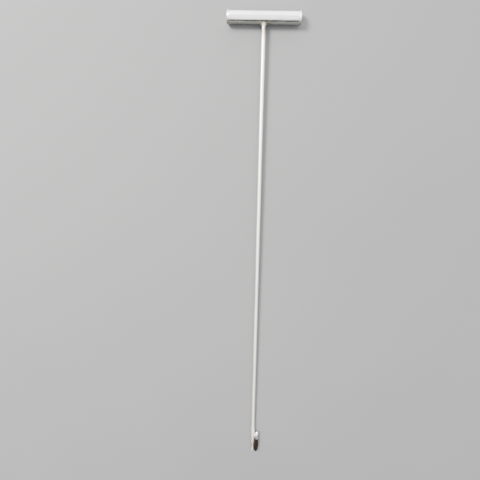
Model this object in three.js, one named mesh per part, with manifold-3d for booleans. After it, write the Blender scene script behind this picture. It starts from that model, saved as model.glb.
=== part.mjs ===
// A long pricking rod: a tubular T-handle, a round bar, and a pointed tip with a barb on one side.
// Millimetres, +Z up. The tool lies as it rests on a bench: the handle runs along X, and the rod
// runs from it towards -Y, dipping until the barb's nose touches the bench. The origin is the
// bottom centre of the whole tool's box.
import * as THREE from "three";
import { mergeVertices } from "three/addons/utils/BufferGeometryUtils.js";
import Module from "manifold-3d";

const wasm = await Module();
wasm.setup();

// ---- Driving dimensions ----
const HANDLE_DIAMETER = 19;
const HANDLE_WALL = 1.5;
const HANDLE_LENGTH = 110;         // over both end plugs
const PLUG_FLANGE = 2;             // thickness of the disc outside the tube
const PLUG_SPIGOT = 4;             // depth of the part inside the tube
const PLUG_EDGE = 0.5;             // chamfer round the outer face
const PLUG_WELD_GROOVE = 0.9;      // 45 degree bevel on the tube and on the plug
const PLUG_WELD_CROWN = 0.35;      // how far the bead stands proud of the tube

const ROD_DIAMETER = 6;
const SWELL_REACH = 726;           // handle axis to the forged swell, along the rod
const SWELL_DIAMETER = 7.1;
const SWELL_RUN = 24;              // length of the rod's growth up to the swell
const SHANK_REACH = 748;           // behind the neck, where the taper steepens
const SHANK_DIAMETER = 5.5;
const NECK_REACH = 761;            // the narrowest place behind the point
const NECK_DIAMETER = 3.6;
const LEAF_REACH = 768;            // the widest place of the leaf-shaped point
const LEAF_WIDTH = 4.8;
const LEAF_THICKNESS = 3;
const TIP_REACH = 775;             // handle axis to the end of the point
const TIP_OFFSET = 0.9;            // the point lies this far to the left of the rod's axis
const POINT_FULLNESS = 1.6;        // 1 is a straight cone, more is a fuller point
const ROD_CHAMFER = 0.5;           // round the rod's end inside the handle

const HANDLE_WELD_LEG = 2.6;       // fillet leg on the tube
const HANDLE_WELD_RUN = 4.5;       // fillet leg along the rod
const HANDLE_WELD_EDGE = 0.5;      // thickness of the fillet's rims

const NOSE_DIAMETER = 8;           // the barb's round end
const NOSE_LENGTH = 17;
const NOSE_CROWN = 7.6;            // the nose's widest place to its end towards the handle
const NOSE_REACH = 735;            // handle axis to the nose's widest place
const NOSE_OFFSET = 7.3;           // rod axis to the middle of the nose
const NOSE_LEAN = THREE.MathUtils.degToRad(13);
const FIN_WIDTH = 11.2;            // rod axis to the fin's outer edge, at its widest
const FIN_THICKNESS = 5;
const FIN_TIP_THICKNESS = 2.4;
const FIN_BEVEL = 1.3;
const FIN_END = 774.5;             // handle axis to the fin's lower end
const FIN_FOOT = 6.2;              // rod axis to the fin's lower end
const FIN_BELLY = 758;             // handle axis to where the fin reaches its full width
const FIN_HEEL = 744;              // handle axis to where its straight outer edge ends
const SEAM_REACH = 755;            // handle axis to the middle of the barb's weld seams
const SEAM_RUN = 21;
const SEAM_RADIUS = 1.5;
const SEAM_SHIFT = 0.6;            // the seam's middle lies this far outside the rod's surface
const SEAM_FLATNESS = 0.77;        // the seam's height over its width
const SEAM_SINK = 0.2;             // the seam's middle lies this far below the fin's face

const GAP = 0.3;                   // clearance that stands for touching faces
const ROUND = 48;                  // segments round the handle
const ROUND_ROD = 28;              // segments round the rod and the barb
const POINT_STEP = 1.5;            // spacing of the sections through the point
const SHANK_STEP = 2.5;            // spacing of the sections through the swell and the neck

// ---- Sizes that follow ----
const HANDLE_RADIUS = HANDLE_DIAMETER / 2;
const BORE_RADIUS = HANDLE_RADIUS - HANDLE_WALL;
const CROWN_RADIUS = HANDLE_RADIUS + PLUG_WELD_CROWN;
const TUBE_LENGTH = HANDLE_LENGTH - 2 * (PLUG_FLANGE + GAP);
const ROD_RADIUS = ROD_DIAMETER / 2;
const ROD_TOP = Math.sqrt(BORE_RADIUS ** 2 - ROD_RADIUS ** 2) - GAP;
const NOSE_RADIUS = NOSE_DIAMETER / 2;
const ROD_DIP = Math.asin((CROWN_RADIUS - NOSE_RADIUS) / NOSE_REACH);

// ---- Materials ----
const materials = {
  tube: { color: 0xc9cacb, roughness: 0.28, metalness: 1 },
  plug: { color: 0xd2d2d0, roughness: 0.34, metalness: 1 },
  bead: { color: 0xc2bfb8, roughness: 0.42, metalness: 1 },
  rod: { color: 0xd8d5cc, roughness: 0.36, metalness: 1 },
  barb: { color: 0x8a6a50, roughness: 0.42, metalness: 1 },
  weld: { color: 0xb39c84, roughness: 0.42, metalness: 1 },
};

// ---- Helpers ----
function manifoldFrom(geometry) {
  const bare = geometry.clone();
  bare.deleteAttribute("normal");
  bare.deleteAttribute("uv");
  const merged = mergeVertices(bare, 1e-4);
  const mesh = new wasm.Mesh({
    numProp: 3,
    vertProperties: new Float32Array(merged.attributes.position.array),
    triVerts: new Uint32Array(merged.index.array),
  });
  return new wasm.Manifold(mesh);
}

function geometryFrom(manifold) {
  const mesh = manifold.getMesh();
  const geometry = new THREE.BufferGeometry();
  geometry.setAttribute("position", new THREE.BufferAttribute(mesh.vertProperties, 3));
  geometry.setIndex(new THREE.BufferAttribute(mesh.triVerts, 1));
  geometry.computeVertexNormals();
  return geometry;
}

// One solid from the geometries to join, less the geometries to cut away.
function carve(joined, cutters) {
  const [first, ...others] = joined.map(manifoldFrom);
  const whole = others.reduce((body, other) => body.add(other), first);
  return geometryFrom(cutters.map(manifoldFrom).reduce((body, cut) => body.subtract(cut), whole));
}

function lathe(points, segments) {
  return new THREE.LatheGeometry(points.map(([r, y]) => new THREE.Vector2(r, y)), segments);
}

// Moves every vertex by a function of its place.
function reshape(geometry, move) {
  const place = geometry.attributes.position;
  const point = new THREE.Vector3();
  for (let i = 0; i < place.count; i += 1) {
    point.fromBufferAttribute(place, i);
    move(point);
    place.setXYZ(i, point.x, point.y, point.z);
  }
  return geometry;
}

function smooth(t) {
  return t * t * (3 - 2 * t);
}

// Points [across, along] on a quarter or half of an ellipse, from angle a to angle b.
function arc(across, along, a, b, steps) {
  return Array.from({ length: steps + 1 }, (_, i) => {
    const angle = a + (b - a) * (i / steps);
    return [across * Math.cos(angle), along * Math.sin(angle)];
  });
}

function part(name, geometry, finish) {
  const mesh = new THREE.Mesh(geometry, new THREE.MeshStandardMaterial(materials[finish]));
  mesh.name = name;
  return mesh;
}

// ---- Handle: a tube with a plug welded into each end ----
function handleTube() {
  const end = TUBE_LENGTH / 2;
  const tube = lathe([
    [BORE_RADIUS, -end],
    [HANDLE_RADIUS - PLUG_WELD_GROOVE, -end],
    [HANDLE_RADIUS, PLUG_WELD_GROOVE - end],
    [HANDLE_RADIUS, end - PLUG_WELD_GROOVE],
    [HANDLE_RADIUS - PLUG_WELD_GROOVE, end],
    [BORE_RADIUS, end],
    [BORE_RADIUS, -end],
  ], ROUND);
  tube.rotateZ(-Math.PI / 2);
  const drill = new THREE.CylinderGeometry(
    ROD_RADIUS + GAP, ROD_RADIUS + GAP, HANDLE_RADIUS, ROUND_ROD);
  drill.translate(0, -HANDLE_RADIUS, 0);
  drill.rotateX(ROD_DIP);
  return part("handle_tube", carve([tube], [drill]), "tube");
}

function endPlug(name, side) {
  const outer = HANDLE_LENGTH / 2;
  const seat = outer - PLUG_FLANGE;
  const spigotRadius = BORE_RADIUS - GAP;
  const plug = lathe([
    [0, seat - PLUG_SPIGOT],
    [spigotRadius - PLUG_EDGE, seat - PLUG_SPIGOT],
    [spigotRadius, seat - PLUG_SPIGOT + PLUG_EDGE],
    [spigotRadius, seat],
    [HANDLE_RADIUS - PLUG_WELD_GROOVE, seat],
    [HANDLE_RADIUS, seat + PLUG_WELD_GROOVE],
    [HANDLE_RADIUS, outer - PLUG_EDGE],
    [HANDLE_RADIUS - PLUG_EDGE, outer],
    [0, outer],
  ], ROUND);
  plug.rotateZ(-side * Math.PI / 2);
  return part(name, plug, "plug");
}

// The bead fills the V between the tube's bevel and the plug's.
function plugWeld(name, side) {
  const middle = HANDLE_LENGTH / 2 - PLUG_FLANGE - GAP / 2;
  const slant = GAP * Math.SQRT2;
  const root = HANDLE_RADIUS - PLUG_WELD_GROOVE + slant;
  const halfWidth = HANDLE_RADIUS - root;
  const crown = arc(halfWidth, PLUG_WELD_CROWN, Math.PI, 0, 4).map(([along, proud]) => [
    HANDLE_RADIUS + proud,
    middle + along,
  ]);
  const bead = lathe([[root, middle], ...crown, [root, middle]], ROUND);
  bead.rotateZ(-side * Math.PI / 2);
  return part(name, bead, "bead");
}

// ---- Rod: round bar, forged out to a swell, then ground down to a leaf-shaped point ----
const ROD_MARKS = [
  [SWELL_REACH - SWELL_RUN, ROD_RADIUS],
  [SWELL_REACH, SWELL_DIAMETER / 2],
  [SHANK_REACH, SHANK_DIAMETER / 2],
  [NECK_REACH, NECK_DIAMETER / 2],
  [LEAF_REACH, LEAF_WIDTH / 2],
];

function rodRadiusAt(reach) {
  if (reach >= LEAF_REACH) {
    const t = (reach - LEAF_REACH) / (TIP_REACH - LEAF_REACH);
    return (LEAF_WIDTH / 2) * (1 - t ** POINT_FULLNESS);
  }
  const next = ROD_MARKS.findIndex(([place]) => place >= reach);
  if (next === 0) return ROD_RADIUS;
  const [from, radiusFrom] = ROD_MARKS[next - 1];
  const [to, radiusTo] = ROD_MARKS[next];
  return THREE.MathUtils.lerp(radiusFrom, radiusTo, smooth((reach - from) / (to - from)));
}

function rodProfile() {
  const profile = [[0, -TIP_REACH]];
  for (let reach = TIP_REACH - 1; reach > NECK_REACH; reach -= POINT_STEP) {
    profile.push([rodRadiusAt(reach), -reach]);
  }
  for (let reach = NECK_REACH; reach >= SWELL_REACH - SWELL_RUN; reach -= SHANK_STEP) {
    profile.push([rodRadiusAt(reach), -reach]);
  }
  profile.push(
    [ROD_RADIUS, ROD_TOP - ROD_CHAMFER],
    [ROD_RADIUS - ROD_CHAMFER, ROD_TOP],
    [0, ROD_TOP],
  );
  return profile;
}

// Past the neck the section turns from round to a flat leaf, and its point leans to the left.
function flattenTip(point) {
  const reach = -point.y;
  if (reach <= NECK_REACH) return;
  const toLeaf = Math.min(1, (reach - NECK_REACH) / (LEAF_REACH - NECK_REACH));
  const toTip = (reach - NECK_REACH) / (TIP_REACH - NECK_REACH);
  point.z *= THREE.MathUtils.lerp(1, LEAF_THICKNESS / LEAF_WIDTH, smooth(toLeaf));
  point.x -= TIP_OFFSET * toTip ** 2;
}

function rod() {
  return part("rod", reshape(lathe(rodProfile(), ROUND_ROD), flattenTip), "rod");
}

// A concave fillet whose top face follows the round of the tube.
function handleWeld() {
  const inner = ROD_RADIUS + GAP;
  const outer = ROD_RADIUS + HANDLE_WELD_LEG;
  const curve = arc(1, 1, Math.PI / 2, 0, 6).map(([along, across]) => [
    outer - (outer - inner - HANDLE_WELD_EDGE) * along,
    -GAP - HANDLE_WELD_EDGE - HANDLE_WELD_RUN * (1 - across),
  ]);
  const foot = curve.at(-1)[1];
  const fillet = lathe([
    [inner, foot],
    ...curve.reverse(),
    [outer, -GAP],
    [inner, -GAP],
    [inner, foot],
  ], ROUND_ROD);
  reshape(fillet, (point) => {
    point.y -= Math.sqrt(HANDLE_RADIUS ** 2 - point.z ** 2);
  });
  return part("handle_weld", fillet, "weld");
}

// ---- Barb: an egg-shaped nose on a bevelled fin that runs down to the point ----
function nose() {
  const radius = NOSE_RADIUS;
  const egg = [
    ...arc(radius, NOSE_LENGTH - NOSE_CROWN, -Math.PI / 2, 0, 8),
    ...arc(radius, NOSE_CROWN, 0, Math.PI / 2, 8).slice(1),
  ];
  egg[0][0] = 0;
  egg.at(-1)[0] = 0;
  const shape = lathe(egg, ROUND_ROD);
  shape.rotateZ(-NOSE_LEAN);
  shape.translate(NOSE_OFFSET, -NOSE_REACH, 0);
  return shape;
}

// How thick the fin is, as a share of its full thickness.
function finTaper(reach) {
  const t = THREE.MathUtils.clamp((reach - NOSE_REACH) / (FIN_END - NOSE_REACH), 0, 1);
  return THREE.MathUtils.lerp(1, FIN_TIP_THICKNESS / FIN_THICKNESS, t);
}

// The outer edge curves up from the foot to the belly, then runs straight to the heel.
function fin(grown = 0) {
  const edge = FIN_WIDTH - FIN_BEVEL;
  const foot = FIN_BEVEL - FIN_END;
  const halfway = (foot - FIN_BELLY) / 2;
  const outline = new THREE.Shape();
  outline.moveTo(FIN_FOOT, foot);
  outline.bezierCurveTo((FIN_FOOT + edge) / 2, foot, edge, halfway, edge, -FIN_BELLY);
  outline.lineTo(edge, -FIN_HEEL);
  outline.lineTo(NOSE_OFFSET, -NOSE_REACH);
  outline.lineTo(0, -NOSE_REACH);
  outline.lineTo(0, -NECK_REACH);
  outline.closePath();
  const plate = new THREE.ExtrudeGeometry(outline, {
    depth: FIN_THICKNESS - 2 * FIN_BEVEL + 2 * grown,
    bevelThickness: FIN_BEVEL,
    bevelSize: FIN_BEVEL,
    bevelSegments: 2,
    curveSegments: 14,
  });
  plate.translate(0, 0, FIN_BEVEL - FIN_THICKNESS / 2 - grown);
  return reshape(plate, (point) => {
    point.z *= finTaper(-point.y);
  });
}

// The rod near the barb, grown by the clearance. The point is grown more, because its flattening
// thins the clearance too.
function rodCutter() {
  const profile = [[0, -TIP_REACH - GAP]];
  for (let reach = TIP_REACH - 1; reach > NECK_REACH; reach -= POINT_STEP) {
    profile.push([rodRadiusAt(reach) + GAP * (LEAF_WIDTH / LEAF_THICKNESS), -reach]);
  }
  for (let reach = NECK_REACH; reach >= SWELL_REACH - SWELL_RUN; reach -= SHANK_STEP) {
    profile.push([rodRadiusAt(reach) + GAP, -reach]);
  }
  profile.push([0, profile.at(-1)[1]]);
  return reshape(lathe(profile, ROUND_ROD), flattenTip);
}

function barb() {
  return part("barb", carve([nose(), fin()], [rodCutter()]), "barb");
}

// A long low bead in the groove between the rod and one face of the fin.
function seam(name, face) {
  const bead = lathe(arc(SEAM_RADIUS, SEAM_RUN / 2, -Math.PI / 2, Math.PI / 2, 16), 16);
  reshape(bead, (point) => {
    const reach = SEAM_REACH - point.y;
    const height = (FIN_THICKNESS / 2) * finTaper(reach) - SEAM_SINK;
    point.set(
      point.x + rodRadiusAt(reach) + SEAM_SHIFT,
      -reach,
      face * height + point.z * SEAM_FLATNESS,
    );
  });
  return part(name, carve([bead], [rodCutter(), fin(GAP), nose()]), "weld");
}

// ---- Assembly ----
const tool = new THREE.Group();
tool.position.set(0, (TIP_REACH * Math.cos(ROD_DIP) - CROWN_RADIUS) / 2, CROWN_RADIUS);

const handle = new THREE.Group();
handle.add(handleTube());
for (const [side, sign] of [["left", -1], ["right", 1]]) {
  handle.add(endPlug(`end_plug_${side}`, sign));
  handle.add(plugWeld(`plug_weld_${side}`, sign));
}

const shaft = new THREE.Group();
shaft.rotation.x = ROD_DIP;
shaft.add(rod(), handleWeld(), barb());
shaft.add(seam("barb_weld_top", 1), seam("barb_weld_bottom", -1));

tool.add(handle, shaft);
export default tool;
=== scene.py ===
import math

import bmesh
import bpy
from mathutils import Matrix, Vector, noise


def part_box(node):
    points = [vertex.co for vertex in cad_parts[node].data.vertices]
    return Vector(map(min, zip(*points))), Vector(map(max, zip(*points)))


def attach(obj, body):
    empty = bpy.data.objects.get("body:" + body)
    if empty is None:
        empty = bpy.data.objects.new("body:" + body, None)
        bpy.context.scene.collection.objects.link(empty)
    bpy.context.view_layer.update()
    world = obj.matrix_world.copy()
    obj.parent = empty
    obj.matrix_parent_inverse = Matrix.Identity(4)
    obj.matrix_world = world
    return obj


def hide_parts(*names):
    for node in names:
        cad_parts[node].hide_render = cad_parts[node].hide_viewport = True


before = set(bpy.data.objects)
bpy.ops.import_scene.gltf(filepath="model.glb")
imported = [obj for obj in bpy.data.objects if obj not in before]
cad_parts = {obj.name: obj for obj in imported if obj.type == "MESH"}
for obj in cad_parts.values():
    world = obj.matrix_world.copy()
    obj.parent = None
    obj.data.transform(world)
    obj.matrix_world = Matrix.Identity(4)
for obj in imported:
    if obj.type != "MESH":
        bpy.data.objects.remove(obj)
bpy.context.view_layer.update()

# A T-handled steel rod with a barbed point, lying on a pale bench. Metres, +Z up: the handle runs
# along X, the rod runs from it towards -Y and dips until the barb's nose touches the bench.
MM = 0.001

# ---- Driving dimensions ----
# A reach is a distance from the handle's axis, along the rod.
HANDLE_RADIUS = 9.5 * MM
TUBE_END = 52.7 * MM             # the handle's middle to the tube's end
TUBE_BORE = 8.0 * MM             # radius of the tube's inside
TUBE_BEVEL = 0.75 * MM
PLUG_FLANGE = 2 * MM             # thickness of the plug's disc
PLUG_DEPTH = 6 * MM              # the plug's whole length, with the part inside the tube
PLUG_EDGE = 0.55 * MM
SPIGOT_RADIUS = 7.7 * MM
SPIGOT_CHAMFER = 0.5 * MM
PLUG_BEAD_PLACE = 52.85 * MM
PLUG_BEAD_HALF = 0.85 * MM
PLUG_BEAD_CROWN = 0.34 * MM
PLUG_BEAD_RIPPLES = 46
PLUG_BEAD_ROOT = 0.7 * MM        # how deep the bead reaches below the tube's face

ROD_RADIUS = 3 * MM
ROD_HIDDEN = 6.5 * MM            # the rod runs this far past the handle's axis, inside the tube
SWELL_REACH = 726 * MM
SWELL_RADIUS = 3.55 * MM
SWELL_RUN = 24 * MM
FORGE_START = SWELL_REACH - SWELL_RUN
SHANK_REACH = 748 * MM
SHANK_RADIUS = 2.75 * MM
NECK_REACH = 761 * MM
NECK_RADIUS = 1.8 * MM
LEAF_REACH = 768 * MM
LEAF_WIDTH = 4.8 * MM
LEAF_THICKNESS = 3 * MM
TIP_REACH = 775 * MM
TIP_OFFSET = 0.9 * MM
POINT_FULLNESS = 1.6             # 1 is a straight cone, more is a fuller point
ROD_MARKS = [
    (FORGE_START, ROD_RADIUS),
    (SWELL_REACH, SWELL_RADIUS),
    (SHANK_REACH, SHANK_RADIUS),
    (NECK_REACH, NECK_RADIUS),
    (LEAF_REACH, LEAF_WIDTH / 2),
]

FILLET_LEG = 2.5 * MM            # the handle weld's height up the tube
FILLET_RUN = 4.9 * MM            # its length along the rod
FILLET_RIPPLES = 8.5             # half the number of ripples round it

NOSE_REACH = 735 * MM
NOSE_RADIUS = 4 * MM
NOSE_OFFSET = 7.3 * MM
FIN_END = 774.5 * MM
FIN_HALF = 2.5 * MM
FIN_TIP_SHARE = 0.48             # the fin's thickness at its end over its thickness at the nose
SEAM_REACH = 755 * MM
SEAM_HALF = 10.8 * MM
SEAM_RADIUS = 1.55 * MM
SEAM_SHIFT = 0.6 * MM            # the seam's middle lies this far outside the rod's surface
SEAM_SINK = 0.3 * MM             # and this far below the fin's face
SEAM_FLATNESS = 0.74
SEAM_RIPPLE = 1.15 * MM          # from one ripple to the next

# ---- Where the tool lies ----
tube_low, tube_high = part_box("handle_tube")
_, crown_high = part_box("plug_weld_left")
HANDLE = Vector((0, (tube_low.y + tube_high.y) / 2, crown_high.z / 2))
DIP = math.asin((HANDLE.z - NOSE_RADIUS) / NOSE_REACH)
SHAFT = Matrix.Translation(HANDLE) @ Matrix.Rotation(DIP, 4, "X")


def shaft_point(x, reach, z):
    """A place beside the rod: x to the side, z above the rod's axis."""
    return SHAFT @ Vector((x, -reach, z))


def smooth(t):
    """An even ease from 0 to 1."""
    t = min(1.0, max(0.0, t))
    return t * t * (3 - 2 * t)


def mix(a, b, t):
    return a + (b - a) * t


def bumps(place, size, seed):
    """Smooth noise from -1 to 1 with features of about the given size."""
    return noise.noise(place / size + Vector((seed, seed * 0.37, seed * 0.73)))


def turn(step, count):
    """The angle of one step out of a count of steps round a circle."""
    return 2 * math.pi * step / count


def set_stops(color_ramp, stops):
    """Fills a colour ramp from (position, colour) pairs. A colour is (r, g, b) or (grey,)."""
    elements = color_ramp.elements
    while len(elements) < len(stops):
        elements.new(0.5)
    for element, (position, colour) in zip(elements, stops):
        element.position = position
        element.color = (*colour, 1) if len(colour) == 3 else (colour[0],) * 3 + (1,)


# ---- Mesh code ----
def piece(name, mesh, material, nodes):
    """A smooth-shaded piece that stands in for CAD nodes."""
    for polygon in mesh.polygons:
        polygon.use_smooth = True
    mesh.materials.append(material)
    made = bpy.data.objects.new(name, mesh)
    bpy.context.scene.collection.objects.link(made)
    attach(made, "root")
    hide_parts(*nodes)
    return made


def loft(name, rings, start=None, end=None, joined=False):
    """A skin through rings of points, closed at its ends by fans, or joined end to end."""
    build = bmesh.new()
    rows = [[build.verts.new(point) for point in ring] for ring in rings]
    count = len(rows[0])
    pairs = list(zip(rows, rows[1:]))
    if joined:
        pairs.append((rows[-1], rows[0]))
    for near, far in pairs:
        for i in range(count):
            j = (i + 1) % count
            build.faces.new((near[i], near[j], far[j], far[i]))
    for middle, row, flip in ((start, rows[0], True), (end, rows[-1], False)):
        if middle is None:
            continue
        centre = build.verts.new(middle)
        for i in range(count):
            j = (i + 1) % count
            build.faces.new((centre, row[j], row[i]) if flip else (centre, row[i], row[j]))
    bmesh.ops.recalc_face_normals(build, faces=build.faces)
    mesh = bpy.data.meshes.new(name)
    build.to_mesh(mesh)
    build.free()
    return mesh


def handle_ring(x, radius, count=144):
    """A ring round the handle's axis."""
    ring = []
    for i in range(count):
        angle = turn(i, count)
        out = Vector((0, math.cos(angle), math.sin(angle)))
        ring.append(HANDLE + Vector((x, 0, 0)) + out * radius)
    return ring


# ---- Handle ----
def handle_tube(material):
    """A tube with rounded bevels at both ends."""
    left_end = [
        (-TUBE_END, TUBE_BORE),
        (-TUBE_END, HANDLE_RADIUS - TUBE_BEVEL),
        (-TUBE_END + TUBE_BEVEL * 0.6, HANDLE_RADIUS - TUBE_BEVEL * 0.35),
        (-TUBE_END + TUBE_BEVEL * 1.1, HANDLE_RADIUS),
    ]
    steps = 60
    inner = TUBE_END - TUBE_BEVEL * 1.3
    middle = [(mix(-inner, inner, i / steps), HANDLE_RADIUS) for i in range(steps + 1)]
    right_end = [(-x, r) for x, r in reversed(left_end)]
    rings = [handle_ring(x, r) for x, r in left_end + middle + right_end]
    mesh = loft("tube", rings, joined=True)
    return piece("tube", mesh, material, ["handle_tube"])


def end_plug(side, label, material):
    """A turned disc with a chamfered rim, and a spigot inside the tube. Side is -1 or 1."""
    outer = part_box(f"end_plug_{label}")[0 if side < 0 else 1].x
    bevel = 0.8 * MM
    profile = [
        (outer - side * PLUG_DEPTH, SPIGOT_RADIUS - SPIGOT_CHAMFER),
        (outer - side * (PLUG_DEPTH - SPIGOT_CHAMFER), SPIGOT_RADIUS),
        (outer - side * PLUG_FLANGE, SPIGOT_RADIUS),
        (outer - side * PLUG_FLANGE, HANDLE_RADIUS - bevel),
        (outer - side * (PLUG_FLANGE - bevel), HANDLE_RADIUS),
        (outer - side * PLUG_EDGE * 1.6, HANDLE_RADIUS),
        (outer - side * PLUG_EDGE, HANDLE_RADIUS - 0.03 * MM),
        (outer - side * PLUG_EDGE * 0.45, HANDLE_RADIUS - PLUG_EDGE * 0.42),
        (outer - side * 0.03 * MM, HANDLE_RADIUS - PLUG_EDGE),
        (outer, HANDLE_RADIUS - PLUG_EDGE * 1.6),
    ]
    profile += [(outer, HANDLE_RADIUS * share) for share in (0.8, 0.6, 0.4, 0.2)]
    rings = [handle_ring(x, r) for x, r in profile]
    start = HANDLE + Vector((profile[0][0], 0, 0))
    end = HANDLE + Vector((outer, 0, 0))
    mesh = loft(f"plug_{label}", rings, start, end)
    return piece(f"plug_{label}", mesh, material, [f"end_plug_{label}"])


def plug_bead(side, label, material):
    """A dressed bead: low, with faint ripples and a few hollows."""
    steps = 10
    count = 288
    sink = 0.06 * MM
    rings = []
    for i in range(steps + 1):
        across = math.pi * i / steps
        x = side * (PLUG_BEAD_PLACE - PLUG_BEAD_HALF * math.cos(across))
        ring = []
        for k in range(count):
            angle = turn(k, count)
            out = Vector((0, math.cos(angle), math.sin(angle)))
            at = Vector((side * 50 * MM, 0, 0)) + out * HANDLE_RADIUS
            ripple = 0.82 + 0.08 * math.sin(PLUG_BEAD_RIPPLES * angle + 1.2 * math.sin(across))
            ripple += 0.1 * bumps(at, 2.2 * MM, 4.0 + side)
            crown = PLUG_BEAD_CROWN * ripple * math.sin(across) - sink
            ring.append(HANDLE + Vector((x, 0, 0)) + out * (HANDLE_RADIUS + crown))
        rings.append(ring)
    root = side * PLUG_BEAD_PLACE
    rings.append(handle_ring(root, HANDLE_RADIUS - PLUG_BEAD_ROOT, count))
    mesh = loft(f"plug_bead_{label}", rings, joined=True)
    return piece(f"plug_bead_{label}", mesh, material, [f"plug_weld_{label}"])


# ---- Rod ----
def rod_radius(reach):
    """Half the rod's width."""
    if reach >= LEAF_REACH:
        t = min(1.0, (reach - LEAF_REACH) / (TIP_REACH - LEAF_REACH))
        return (LEAF_WIDTH / 2) * (1 - t ** POINT_FULLNESS)
    for (start, radius_start), (end, radius_end) in zip(ROD_MARKS, ROD_MARKS[1:]):
        if start <= reach <= end:
            return mix(radius_start, radius_end, smooth((reach - start) / (end - start)))
    return ROD_RADIUS


def rod_section(reach):
    """One section of the rod: round, then flattened to a leaf whose point leans to the left."""
    count = 64
    radius = rod_radius(reach)
    flat = 1.0
    lean = 0.0
    if reach > NECK_REACH:
        to_leaf = smooth((reach - NECK_REACH) / (LEAF_REACH - NECK_REACH))
        flat = mix(1.0, LEAF_THICKNESS / LEAF_WIDTH, to_leaf)
        lean = TIP_OFFSET * ((reach - NECK_REACH) / (TIP_REACH - NECK_REACH)) ** 2
    forged = smooth((reach - FORGE_START) / SWELL_RUN)
    ring = []
    for i in range(count):
        angle = turn(i, count)
        out = Vector((math.cos(angle), 0, math.sin(angle)))
        at = Vector((0, reach, 0)) + out * radius
        dent = 0.07 * MM * forged * bumps(at, 3.2 * MM, 11.0) - 0.03 * MM * forged
        grown = max(radius + dent, 0.05 * MM)
        ring.append(shaft_point(out.x * grown - lean, reach, out.z * grown * flat))
    return ring


def rod(material):
    """The bar, with sections set closer together where it is forged."""
    plain = 180
    fine = 150
    last = TIP_REACH - 0.4 * MM
    reaches = [mix(-ROD_HIDDEN, FORGE_START, i / plain) for i in range(plain)]
    reaches += [mix(FORGE_START, last, i / fine) for i in range(fine + 1)]
    rings = [rod_section(reach) for reach in reaches]
    hidden_end = shaft_point(0, -ROD_HIDDEN, 0)
    point = shaft_point(-TIP_OFFSET, TIP_REACH - 0.1 * MM, 0)
    mesh = loft("bar", rings, hidden_end, point)
    return piece("bar", mesh, material, ["rod"])


# ---- Weld between handle and rod ----
def handle_weld(material):
    """A concave fillet that follows the round of the tube, laid in short overlapping ripples."""
    count = 192
    steps = 22
    start_radius = ROD_RADIUS - 0.1 * MM
    root_radius = ROD_RADIUS - 0.2 * MM
    root_sink = 0.4 * MM
    sink = 0.12 * MM
    lump_size = 4 * MM
    profile = []
    for i in range(steps + 1):
        angle = math.pi / 2 * i / steps
        radius = start_radius + FILLET_LEG * (1 - math.cos(angle))
        profile.append((radius, FILLET_RUN * (1 - math.sin(angle))))
    rings = []
    for radius, stand in profile:
        depth = (radius - ROD_RADIUS) / FILLET_LEG
        swell = math.sin(math.pi * min(1, max(0, depth * 0.92 + 0.04)))
        ring = []
        for k in range(count):
            angle = turn(k, count)
            at = Vector((math.cos(angle), math.sin(angle), depth)) * lump_size
            ripple = 0.16 * MM * swell * abs(math.sin(FILLET_RIPPLES * angle + 2.2 * depth))
            lump = 0.35 * MM * swell * bumps(at, lump_size, 3.0)
            grown = radius + ripple + lump
            x = grown * math.cos(angle)
            z = grown * math.sin(angle)
            seat = math.sqrt(max(HANDLE_RADIUS ** 2 - z * z, 0))
            ring.append(shaft_point(x, seat + stand + (ripple + lump) * 0.7 - sink, z))
        rings.append(ring)
    inner = []
    for k in range(count):
        angle = turn(k, count)
        x = root_radius * math.cos(angle)
        z = root_radius * math.sin(angle)
        inner.append(shaft_point(x, math.sqrt(HANDLE_RADIUS ** 2 - z * z) - root_sink, z))
    mesh = loft("fillet", rings + [inner], joined=True)
    return piece("fillet", mesh, material, ["handle_weld"])


# ---- Barb ----
def fin_half(reach):
    """Half the fin's thickness, which falls evenly from the nose to the fin's end."""
    t = min(1.0, max(0.0, (reach - NOSE_REACH) / (FIN_END - NOSE_REACH)))
    return FIN_HALF * mix(1.0, FIN_TIP_SHARE, t)


def barb(material):
    """The CAD barb with its edges rounded and its faces dented, as forging leaves them."""
    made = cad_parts["barb"]
    made.data.materials.clear()
    made.data.materials.append(material)
    skin = made.modifiers.new("skin", "REMESH")
    skin.mode = "VOXEL"
    skin.voxel_size = 0.2 * MM
    skin.use_smooth_shade = True
    ground = made.modifiers.new("ground", "SMOOTH")
    ground.factor = 0.5
    ground.iterations = 22
    dents = bpy.data.textures.new("dents", "CLOUDS")
    dents.noise_scale = 3.0 * MM
    dents.noise_depth = 1
    forged = made.modifiers.new("forged", "DISPLACE")
    forged.texture = dents
    forged.texture_coords = "GLOBAL"
    forged.strength = 0.16 * MM
    forged.mid_level = 0.5
    return made


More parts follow.
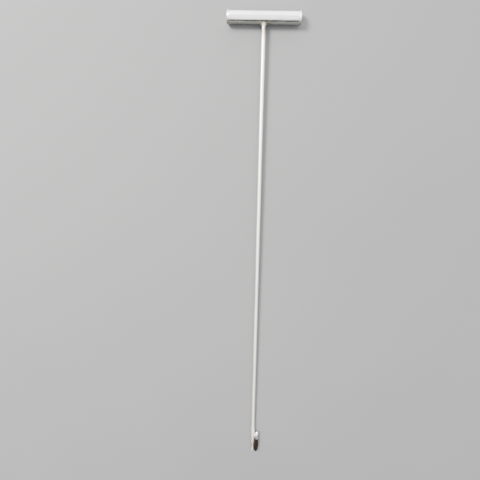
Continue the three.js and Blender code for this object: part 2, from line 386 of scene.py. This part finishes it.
def seam(face, label, material):
    """A rippled bead between the rod and one face of the fin. Face is 1 for the top, or -1."""
    steps = 120
    count = 40

    def middle(reach):
        x = rod_radius(reach) + SEAM_SHIFT
        z = face * (fin_half(reach) - SEAM_SINK)
        return x, z

    rings = []
    for i in range(1, steps):
        t = mix(-1, 1, i / steps)
        reach = SEAM_REACH + SEAM_HALF * t
        girth = math.sqrt(1 - t * t)
        x_mid, z_mid = middle(reach)
        ring = []
        for k in range(count):
            angle = turn(k, count)
            lag = 0.35 * math.cos(angle)
            ripple = 1 + 0.09 * abs(math.sin(math.pi * (reach / SEAM_RIPPLE + lag)))
            ripple += 0.1 * bumps(Vector((angle * MM, reach, 0)), 3 * MM, 7.0 + face)
            grown = SEAM_RADIUS * girth * ripple
            x = x_mid + grown * math.cos(angle)
            z = z_mid + SEAM_FLATNESS * grown * math.sin(angle)
            ring.append(shaft_point(x, reach, z))
        rings.append(ring)
    ends = []
    for reach in (SEAM_REACH - SEAM_HALF, SEAM_REACH + SEAM_HALF):
        x, z = middle(reach)
        ends.append(shaft_point(x, reach, z))
    mesh = loft(f"seam_{label}", rings, *ends)
    return piece(f"seam_{label}", mesh, material, [f"barb_weld_{label}"])


# ---- Materials ----
class Paint:
    """A procedural material, metal unless told otherwise, in the object's own coordinates."""

    def __init__(self, name):
        self.material = bpy.data.materials.new(name)
        self.material.use_nodes = True
        self.tree = self.material.node_tree
        self.shader = self.tree.nodes["Principled BSDF"]
        self.shader.inputs["Metallic"].default_value = 1.0
        place = self.node("ShaderNodeTexCoord")
        self.place = place.outputs["Object"]

    def node(self, kind, **settings):
        made = self.tree.nodes.new(kind)
        for key, value in settings.items():
            setattr(made, key, value)
        return made

    def link(self, source, target):
        self.tree.links.new(source, target)

    def grain(self, scale, detail=4.0, roughness=0.55, distortion=0.0):
        """Noise stretched by a scale for each axis, in features per metre."""
        stretch = self.node("ShaderNodeMapping")
        stretch.inputs["Scale"].default_value = scale
        self.link(self.place, stretch.inputs["Vector"])
        pattern = self.node("ShaderNodeTexNoise")
        pattern.inputs["Scale"].default_value = 1.0
        pattern.inputs["Detail"].default_value = detail
        pattern.inputs["Roughness"].default_value = roughness
        pattern.inputs["Distortion"].default_value = distortion
        self.link(stretch.outputs["Vector"], pattern.inputs["Vector"])
        return pattern.outputs["Fac"]

    def ramp(self, fac, stops):
        """A colour from a factor, through (position, colour) stops."""
        made = self.node("ShaderNodeValToRGB")
        set_stops(made.color_ramp, stops)
        self.link(fac, made.inputs["Fac"])
        return made.outputs["Color"]

    def spread(self, fac, low, high, out_low, out_high):
        """The factor's range from low to high, mapped to another range and clamped to it."""
        made = self.node("ShaderNodeMapRange")
        made.inputs["From Min"].default_value = low
        made.inputs["From Max"].default_value = high
        made.inputs["To Min"].default_value = out_low
        made.inputs["To Max"].default_value = out_high
        self.link(fac, made.inputs["Value"])
        return made.outputs["Result"]

    def math(self, operation, a, b):
        made = self.node("ShaderNodeMath", operation=operation)
        for socket, value in zip(made.inputs, (a, b)):
            if isinstance(value, (int, float)):
                socket.default_value = value
            else:
                self.link(value, socket)
        return made.outputs["Value"]

    def blend(self, fac, a, b, mode="MIX"):
        made = self.node("ShaderNodeMix", data_type="RGBA", blend_type=mode)
        for socket, value in ((made.inputs[0], fac), (made.inputs[6], a), (made.inputs[7], b)):
            if isinstance(value, (int, float)):
                socket.default_value = value
            elif isinstance(value, tuple):
                socket.default_value = (*value, 1)
            else:
                self.link(value, socket)
        return made.outputs[2]

    def distance(self, point, stretch=(1, 1, 1)):
        """How far a surface lies from a point, with each axis weighted."""
        shift = self.node("ShaderNodeVectorMath", operation="SUBTRACT")
        self.link(self.place, shift.inputs[0])
        shift.inputs[1].default_value = point
        weigh = self.node("ShaderNodeVectorMath", operation="MULTIPLY")
        self.link(shift.outputs["Vector"], weigh.inputs[0])
        weigh.inputs[1].default_value = stretch
        length = self.node("ShaderNodeVectorMath", operation="LENGTH")
        self.link(weigh.outputs["Vector"], length.inputs[0])
        return length.outputs["Value"]

    def bump(self, *layers):
        """Height layers of (factor, height in metres), from coarse to fine."""
        normal = None
        for fac, height in layers:
            made = self.node("ShaderNodeBump")
            made.inputs["Strength"].default_value = 1.0
            made.inputs["Distance"].default_value = height
            self.link(fac, made.inputs["Height"])
            if normal is not None:
                self.link(normal, made.inputs["Normal"])
            normal = made.outputs["Normal"]
        self.link(normal, self.shader.inputs["Normal"])

    def finish(self, colour, roughness):
        self.link(colour, self.shader.inputs["Base Color"])
        self.link(roughness, self.shader.inputs["Roughness"])
        return self.material


HANDLE_JOINT = shaft_point(0, HANDLE_RADIUS + 1.5 * MM, 0)
NOSE_PLACE = shaft_point(NOSE_OFFSET, NOSE_REACH - 0.5 * MM, 0.6 * MM)
SEAM_PLACE = shaft_point(ROD_RADIUS, SEAM_REACH, 0)
SHADE_LOW = 13.8 * MM             # the handle's painted shade, which stands in for the reflection of a dark ground, is whole below this height above the bench
SHADE_HIGH = 16.4 * MM            # and gone above this one
SHADE_EDGE = 5 * MM               # and it fades over this distance each side of the handle's axis


def heat(paint, far, base, reach, strength=1.0):
    """Straw, brown, purple and blue bands that fade into the base colour with distance."""
    wander = paint.grain((160, 160, 160), detail=3)
    shift = paint.spread(wander, 0.3, 0.7, -0.12 * reach, 0.12 * reach)
    fac = paint.spread(paint.math("ADD", far, shift), 0, reach, 0, 1)
    tint = paint.ramp(fac, [
        (0.0, (0.52, 0.46, 0.4)),
        (0.2, (0.30, 0.27, 0.36)),
        (0.38, (0.36, 0.22, 0.2)),
        (0.62, (0.6, 0.49, 0.34)),
        (1.0, (0.8, 0.77, 0.7)),
    ])
    amount = paint.ramp(fac, [(0.0, (strength,)), (0.45, (strength * 0.9,)), (1.0, (0.0,))])
    return paint.blend(amount, base, tint)


def painted_ground_shade(paint, colour, smudges):
    """Painted shade over the handle's lower part, on the side that faces the tip, standing in for the
    reflection of a dark ground.
    """
    height = paint.node("ShaderNodeSeparateXYZ")
    paint.link(paint.place, height.inputs[0])
    wander = paint.spread(smudges, 0.3, 0.7, -0.8 * MM, 0.8 * MM)
    # painted shade: whole low on the handle, fading out upwards and away from the tip's side
    shade_mask = paint.spread(paint.math("ADD", height.outputs["Z"], wander), SHADE_LOW, SHADE_HIGH, 0, 1)
    shade_colour = paint.ramp(shade_mask, [(0.0, (0.4, 0.395, 0.36)), (1.0, (1.0, 1.0, 1.0))])
    tip_side = paint.spread(height.outputs["Y"], HANDLE.y - SHADE_EDGE, HANDLE.y + SHADE_EDGE, 1, 0)
    return paint.blend(tip_side, colour, paint.blend(1.0, colour, shade_colour, "MULTIPLY"))


def tube_material():
    """Polished tube: fine lengthwise streaks, smudges, a few nicks, tint round the rod's weld, and
    painted shade low on the tip's side.
    """
    paint = Paint("polished_tube")
    streaks = paint.grain((18, 2600, 2600), detail=5, roughness=0.65)
    fine = paint.grain((60, 9000, 9000), detail=3)
    smudges = paint.grain((38, 60, 60), detail=5, distortion=0.6)
    nicks = paint.grain((700, 260, 260), detail=2, roughness=0.4)
    colour = paint.ramp(streaks, [(0.3, (0.7,)), (0.5, (0.82,)), (0.72, (0.93,))])
    grime = paint.ramp(smudges, [(0.42, (1.0, 1.0, 1.0)), (0.7, (0.82, 0.81, 0.79))])
    colour = paint.blend(0.8, colour, grime, "MULTIPLY")
    # painted shade on the tube's lower part, tip side, for a dark ground's reflection
    colour = painted_ground_shade(paint, colour, smudges)
    colour = heat(paint, paint.distance(HANDLE_JOINT), colour, 11 * MM, 0.7)
    rough = paint.spread(streaks, 0.3, 0.7, 0.15, 0.24)
    rough = paint.math("ADD", rough, paint.spread(smudges, 0.4, 0.75, 0.0, 0.09))
    rough = paint.math("ADD", rough, paint.spread(nicks, 0.68, 0.75, 0.0, 0.15))
    waves = paint.grain((34, 90, 90), detail=2)
    paint.bump((waves, 0.16 * MM), (smudges, 0.03 * MM), (streaks, 0.012 * MM), (fine, 0.003 * MM))
    return paint.finish(colour, rough)


def plug_material():
    """A faced disc: turning marks run round the handle's axis."""
    paint = Paint("faced_plug")
    pitch = 0.34 * MM
    radius = paint.distance(HANDLE, (0, 1, 1))
    turning = paint.math("SINE", paint.math("MULTIPLY", radius, 2 * math.pi / pitch), 0)
    wander = paint.grain((900, 900, 900), detail=3)
    mark = paint.math("MULTIPLY", turning, paint.spread(wander, 0.3, 0.7, 0.2, 1.0))
    stain = paint.grain((260, 260, 260), detail=5, distortion=0.8)
    colour = paint.ramp(stain, [(0.35, (0.8, 0.795, 0.78)), (0.7, (0.66, 0.63, 0.58))])
    # painted shade on the lower part of the plug's outer rim, tip side, as on the tube
    rim = paint.spread(radius, 8.4 * MM, 9.1 * MM, 0, 1)
    colour = paint.blend(rim, colour, painted_ground_shade(paint, colour, stain))
    rough = paint.spread(mark, -1, 1, 0.27, 0.4)
    rough = paint.math("ADD", rough, paint.spread(stain, 0.4, 0.7, 0, 0.1))
    paint.bump((stain, 0.02 * MM), (mark, 0.012 * MM))
    return paint.finish(colour, rough)


def bead_material():
    """Weld metal dressed with an abrasive: bright tops, dull hollows."""
    paint = Paint("dressed_bead")
    lumps = paint.grain((900, 900, 900), detail=5)
    scratch = paint.grain((5200, 700, 700), detail=3)
    colour = paint.ramp(lumps, [
        (0.3, (0.5, 0.46, 0.4)),
        (0.52, (0.76, 0.74, 0.7)),
        (0.75, (0.86, 0.85, 0.82)),
    ])
    # painted shade on the bead's lower part, tip side, as on the tube
    colour = painted_ground_shade(paint, colour, lumps)
    rough = paint.spread(lumps, 0.3, 0.7, 0.44, 0.32)
    rough = paint.math("ADD", rough, paint.spread(scratch, 0.4, 0.7, 0, 0.1))
    paint.bump((lumps, 0.06 * MM), (scratch, 0.01 * MM))
    return paint.finish(colour, rough)


def rod_material():
    """Bright drawn bar with a warm cast, dull patches and pits, tinted near both welds."""
    paint = Paint("drawn_bar")
    draw = paint.grain((2800, 9, 2800), detail=5, roughness=0.6)
    fine = paint.grain((8000, 40, 8000), detail=3)
    patches = paint.grain((120, 26, 120), detail=5, distortion=0.5)
    pits = paint.grain((1500, 900, 1500), detail=2, roughness=0.4)
    rings = paint.grain((300, 1400, 300), detail=2)
    colour = paint.ramp(draw, [
        (0.3, (0.8, 0.765, 0.69)),
        (0.5, (0.92, 0.895, 0.83)),
        (0.72, (0.98, 0.965, 0.92)),
    ])
    warm = paint.ramp(patches, [(0.4, (1.0, 1.0, 1.0)), (0.72, (0.93, 0.87, 0.78))])
    colour = paint.blend(0.75, colour, warm, "MULTIPLY")
    spots = paint.ramp(pits, [(0.66, (1.0, 1.0, 1.0)), (0.74, (0.66, 0.58, 0.5))])
    colour = paint.blend(0.7, colour, spots, "MULTIPLY")
    colour = heat(paint, paint.distance(HANDLE_JOINT), colour, 24 * MM, 0.9)
    colour = heat(paint, paint.distance(SEAM_PLACE, (2.2, 1, 1)), colour, 26 * MM, 0.32)
    rough = paint.spread(draw, 0.3, 0.7, 0.38, 0.5)
    rough = paint.math("ADD", rough, paint.spread(patches, 0.4, 0.75, 0.0, 0.1))
    rough = paint.math("ADD", rough, paint.spread(pits, 0.66, 0.76, 0.0, 0.2))
    paint.bump((patches, 0.05 * MM), (draw, 0.03 * MM), (rings, 0.01 * MM), (fine, 0.003 * MM))
    return paint.finish(colour, rough)


def weld_material():
    """Weld metal, bright on its lumps and brown in its hollows."""
    paint = Paint("weld_metal")
    lumps = paint.grain((700, 700, 700), detail=5)
    fine = paint.grain((3600, 3600, 3600), detail=3)
    colour = paint.ramp(lumps, [
        (0.26, (0.2, 0.13, 0.1)),
        (0.38, (0.46, 0.34, 0.26)),
        (0.5, (0.66, 0.57, 0.46)),
        (0.62, (0.76, 0.71, 0.63)),
        (0.78, (0.84, 0.81, 0.76)),
    ])
    rough = paint.spread(lumps, 0.3, 0.7, 0.46, 0.27)
    paint.bump((lumps, 0.05 * MM), (fine, 0.012 * MM))
    return paint.finish(colour, rough)


def seam_material():
    """Weld metal, very dark brown like the fin, brighter on its lumps."""
    paint = Paint("dark_brown_weld")
    lumps = paint.grain((800, 800, 800), detail=5)
    fine = paint.grain((3600, 3600, 3600), detail=3)
    colour = paint.ramp(lumps, [
        (0.3, (0.022, 0.014, 0.01)),
        (0.48, (0.055, 0.037, 0.026)),
        (0.62, (0.12, 0.085, 0.06)),
        (0.78, (0.24, 0.2, 0.16)),
    ])
    rough = paint.spread(lumps, 0.3, 0.7, 0.5, 0.3)
    paint.bump((lumps, 0.05 * MM), (fine, 0.012 * MM))
    return paint.finish(colour, rough)


def barb_material():
    """Very dark brown over the fin, and a nose ground bright."""
    paint = Paint("barb_steel")
    scale = paint.grain((700, 420, 700), detail=6, roughness=0.6)
    dark_grain = paint.grain((3200, 2400, 3200), detail=4)
    grind = paint.grain((900, 5200, 2400), detail=4)
    # the fin's colour: very dark brown, mottled
    brown = paint.ramp(scale, [
        (0.3, (0.012, 0.008, 0.006)),
        (0.45, (0.021, 0.0135, 0.009)),
        (0.58, (0.032, 0.0205, 0.0135)),
        (0.74, (0.054, 0.037, 0.025)),
    ])
    bright = paint.ramp(grind, [(0.3, (0.72, 0.7, 0.66)), (0.7, (0.92, 0.91, 0.88))])
    wander = paint.spread(scale, 0.3, 0.7, -0.9 * MM, 0.9 * MM)
    far = paint.math("ADD", paint.distance(NOSE_PLACE, (1.0, 0.62, 1.0)), wander)
    fade = paint.spread(far, 3.8 * MM, 6.6 * MM, 0, 1)
    worn = paint.ramp(fade, [(0.0, (1.0,)), (0.45, (0.55,)), (1.0, (0.0,))])
    colour = paint.blend(worn, brown, bright)
    rough_dark = paint.spread(dark_grain, 0.3, 0.7, 0.34, 0.55)
    rough_bright = paint.spread(grind, 0.3, 0.7, 0.2, 0.32)
    from_bright = paint.math("MULTIPLY", worn, rough_bright)
    from_dark = paint.math("MULTIPLY", paint.math("SUBTRACT", 1.0, worn), rough_dark)
    rough = paint.math("ADD", from_bright, from_dark)
    paint.bump((scale, 0.05 * MM), (dark_grain, 0.02 * MM), (grind, 0.006 * MM))
    return paint.finish(colour, rough)


# ---- Build ----
handle_tube(tube_material())
plug_steel = plug_material()
bead_steel = bead_material()
for side, label in ((-1, "left"), (1, "right")):
    end_plug(side, label, plug_steel)
    plug_bead(side, label, bead_steel)
rod(rod_material())
weld_steel = weld_material()
handle_weld(weld_steel)
barb(barb_material())
seam_steel = seam_material()
seam(1, "top", seam_steel)
seam(-1, "bottom", seam_steel)


# ---- Stage ----
FLOOR_HALF = 4.0
ROOM_STRENGTH = 3.4
ROOM_SLANT = (0.0, 0.28, 1.0)    # a reflection towards this direction sees the brightest room
ROOM_BEHIND = 1.75               # how much brighter the room is behind the handle
KEY_PLACE = (-1.3, 1.1, 1.7)
KEY_TARGET = (0, 0.05, 0)
KEY_SIZE = 0.7
KEY_POWER = 250
KEY_COLOUR = (1.0, 0.98, 0.94)
LENS = 25.8
CAMERA_PLACE = HANDLE + Vector((-31.75, -207.4, 570.65)) * MM
CAMERA_TURN = 0.8227             # degrees about the vertical
CAMERA_TILT = -13.012            # degrees towards the tip
CAMERA_ROLL = 0.0774


def floor():
    """A wide pale bench. Its own colour is a low grey, because the light on it is strong."""
    mesh = bpy.data.meshes.new("bench")
    signs = ((-1, -1), (1, -1), (1, 1), (-1, 1))
    corners = [(x * FLOOR_HALF, y * FLOOR_HALF, 0) for x, y in signs]
    mesh.from_pydata(corners, [], [(0, 1, 2, 3)])
    paint = Paint("bench")
    paint.shader.inputs["Metallic"].default_value = 0.0
    cloud = paint.grain((3, 3, 3), detail=2)
    colour = paint.ramp(cloud, [(0.3, (0.104, 0.105, 0.106)), (0.7, (0.112, 0.113, 0.114))])
    rough = paint.spread(cloud, 0.3, 0.7, 0.75, 0.85)
    mesh.materials.append(paint.finish(colour, rough))
    made = bpy.data.objects.new("bench", mesh)
    bpy.context.scene.collection.objects.link(made)


def softbox():
    """One soft square light, high behind the handle on the left."""
    light = bpy.data.lights.new("key", "AREA")
    light.shape = "SQUARE"
    light.size = KEY_SIZE
    light.energy = KEY_POWER
    light.color = KEY_COLOUR
    made = bpy.data.objects.new("key", light)
    made.location = KEY_PLACE
    aim = Vector(KEY_PLACE) - Vector(KEY_TARGET)
    made.rotation_mode = "QUATERNION"
    made.rotation_quaternion = aim.to_track_quat("Z", "Y")
    bpy.context.scene.collection.objects.link(made)


def room():
    """A soft white room, brightest behind the handle and dark low down on the tip's side.
    The camera sees it as plain grey past the floor's edge."""
    world = bpy.data.worlds.new("room")
    bpy.context.scene.world = world
    world.use_nodes = True
    tree = world.node_tree
    background = tree.nodes["Background"]
    place = tree.nodes.new("ShaderNodeTexCoord")
    slant = tree.nodes.new("ShaderNodeVectorMath")
    slant.operation = "DOT_PRODUCT"
    slant.inputs[1].default_value = ROOM_SLANT
    ramp = tree.nodes.new("ShaderNodeValToRGB")
    set_stops(ramp.color_ramp, [
        (0.0, (0.02, 0.02, 0.015)),
        (0.22, (0.03, 0.03, 0.024)),
        (0.27, (0.3, 0.3, 0.3)),
        (0.42, (0.72, 0.73, 0.75)),
        (0.6, (0.94, 0.95, 0.98)),
        (0.8, (1.0, 1.0, 1.0)),
    ])
    sides = tree.nodes.new("ShaderNodeSeparateXYZ")
    behind = tree.nodes.new("ShaderNodeMapRange")
    behind.inputs["From Min"].default_value = 0.05
    behind.inputs["From Max"].default_value = 0.5
    behind.inputs["To Min"].default_value = 1.0
    behind.inputs["To Max"].default_value = ROOM_BEHIND
    power = tree.nodes.new("ShaderNodeMath")
    power.operation = "MULTIPLY"
    power.inputs[1].default_value = ROOM_STRENGTH
    plain = tree.nodes.new("ShaderNodeBackground")
    plain.inputs["Color"].default_value = (0.5, 0.5, 0.5, 1)
    path = tree.nodes.new("ShaderNodeLightPath")
    choose = tree.nodes.new("ShaderNodeMixShader")
    tree.links.new(place.outputs["Generated"], slant.inputs[0])
    tree.links.new(place.outputs["Generated"], sides.inputs[0])
    tree.links.new(sides.outputs["Y"], behind.inputs["Value"])
    tree.links.new(behind.outputs["Result"], power.inputs[0])
    tree.links.new(power.outputs["Value"], background.inputs["Strength"])
    tree.links.new(slant.outputs["Value"], ramp.inputs["Fac"])
    tree.links.new(ramp.outputs["Color"], background.inputs["Color"])
    tree.links.new(path.outputs["Is Camera Ray"], choose.inputs["Fac"])
    tree.links.new(background.outputs["Background"], choose.inputs[1])
    tree.links.new(plain.outputs["Background"], choose.inputs[2])
    tree.links.new(choose.outputs["Shader"], tree.nodes["World Output"].inputs["Surface"])


floor()
room()
softbox()


def camera():
    """High above the rod near the handle, tilted towards the tip."""
    data = bpy.data.cameras.new("camera")
    data.lens = LENS
    data.sensor_width = 36
    data.clip_start = 0.01
    data.clip_end = 30
    made = bpy.data.objects.new("camera", data)
    bpy.context.scene.collection.objects.link(made)
    rotation = (
        Matrix.Rotation(math.radians(CAMERA_TURN), 4, "Z")
        @ Matrix.Rotation(math.radians(CAMERA_TILT), 4, "X")
        @ Matrix.Rotation(math.radians(CAMERA_ROLL), 4, "Y")
    )
    made.matrix_world = Matrix.Translation(CAMERA_PLACE) @ rotation
    bpy.context.scene.camera = made


camera()
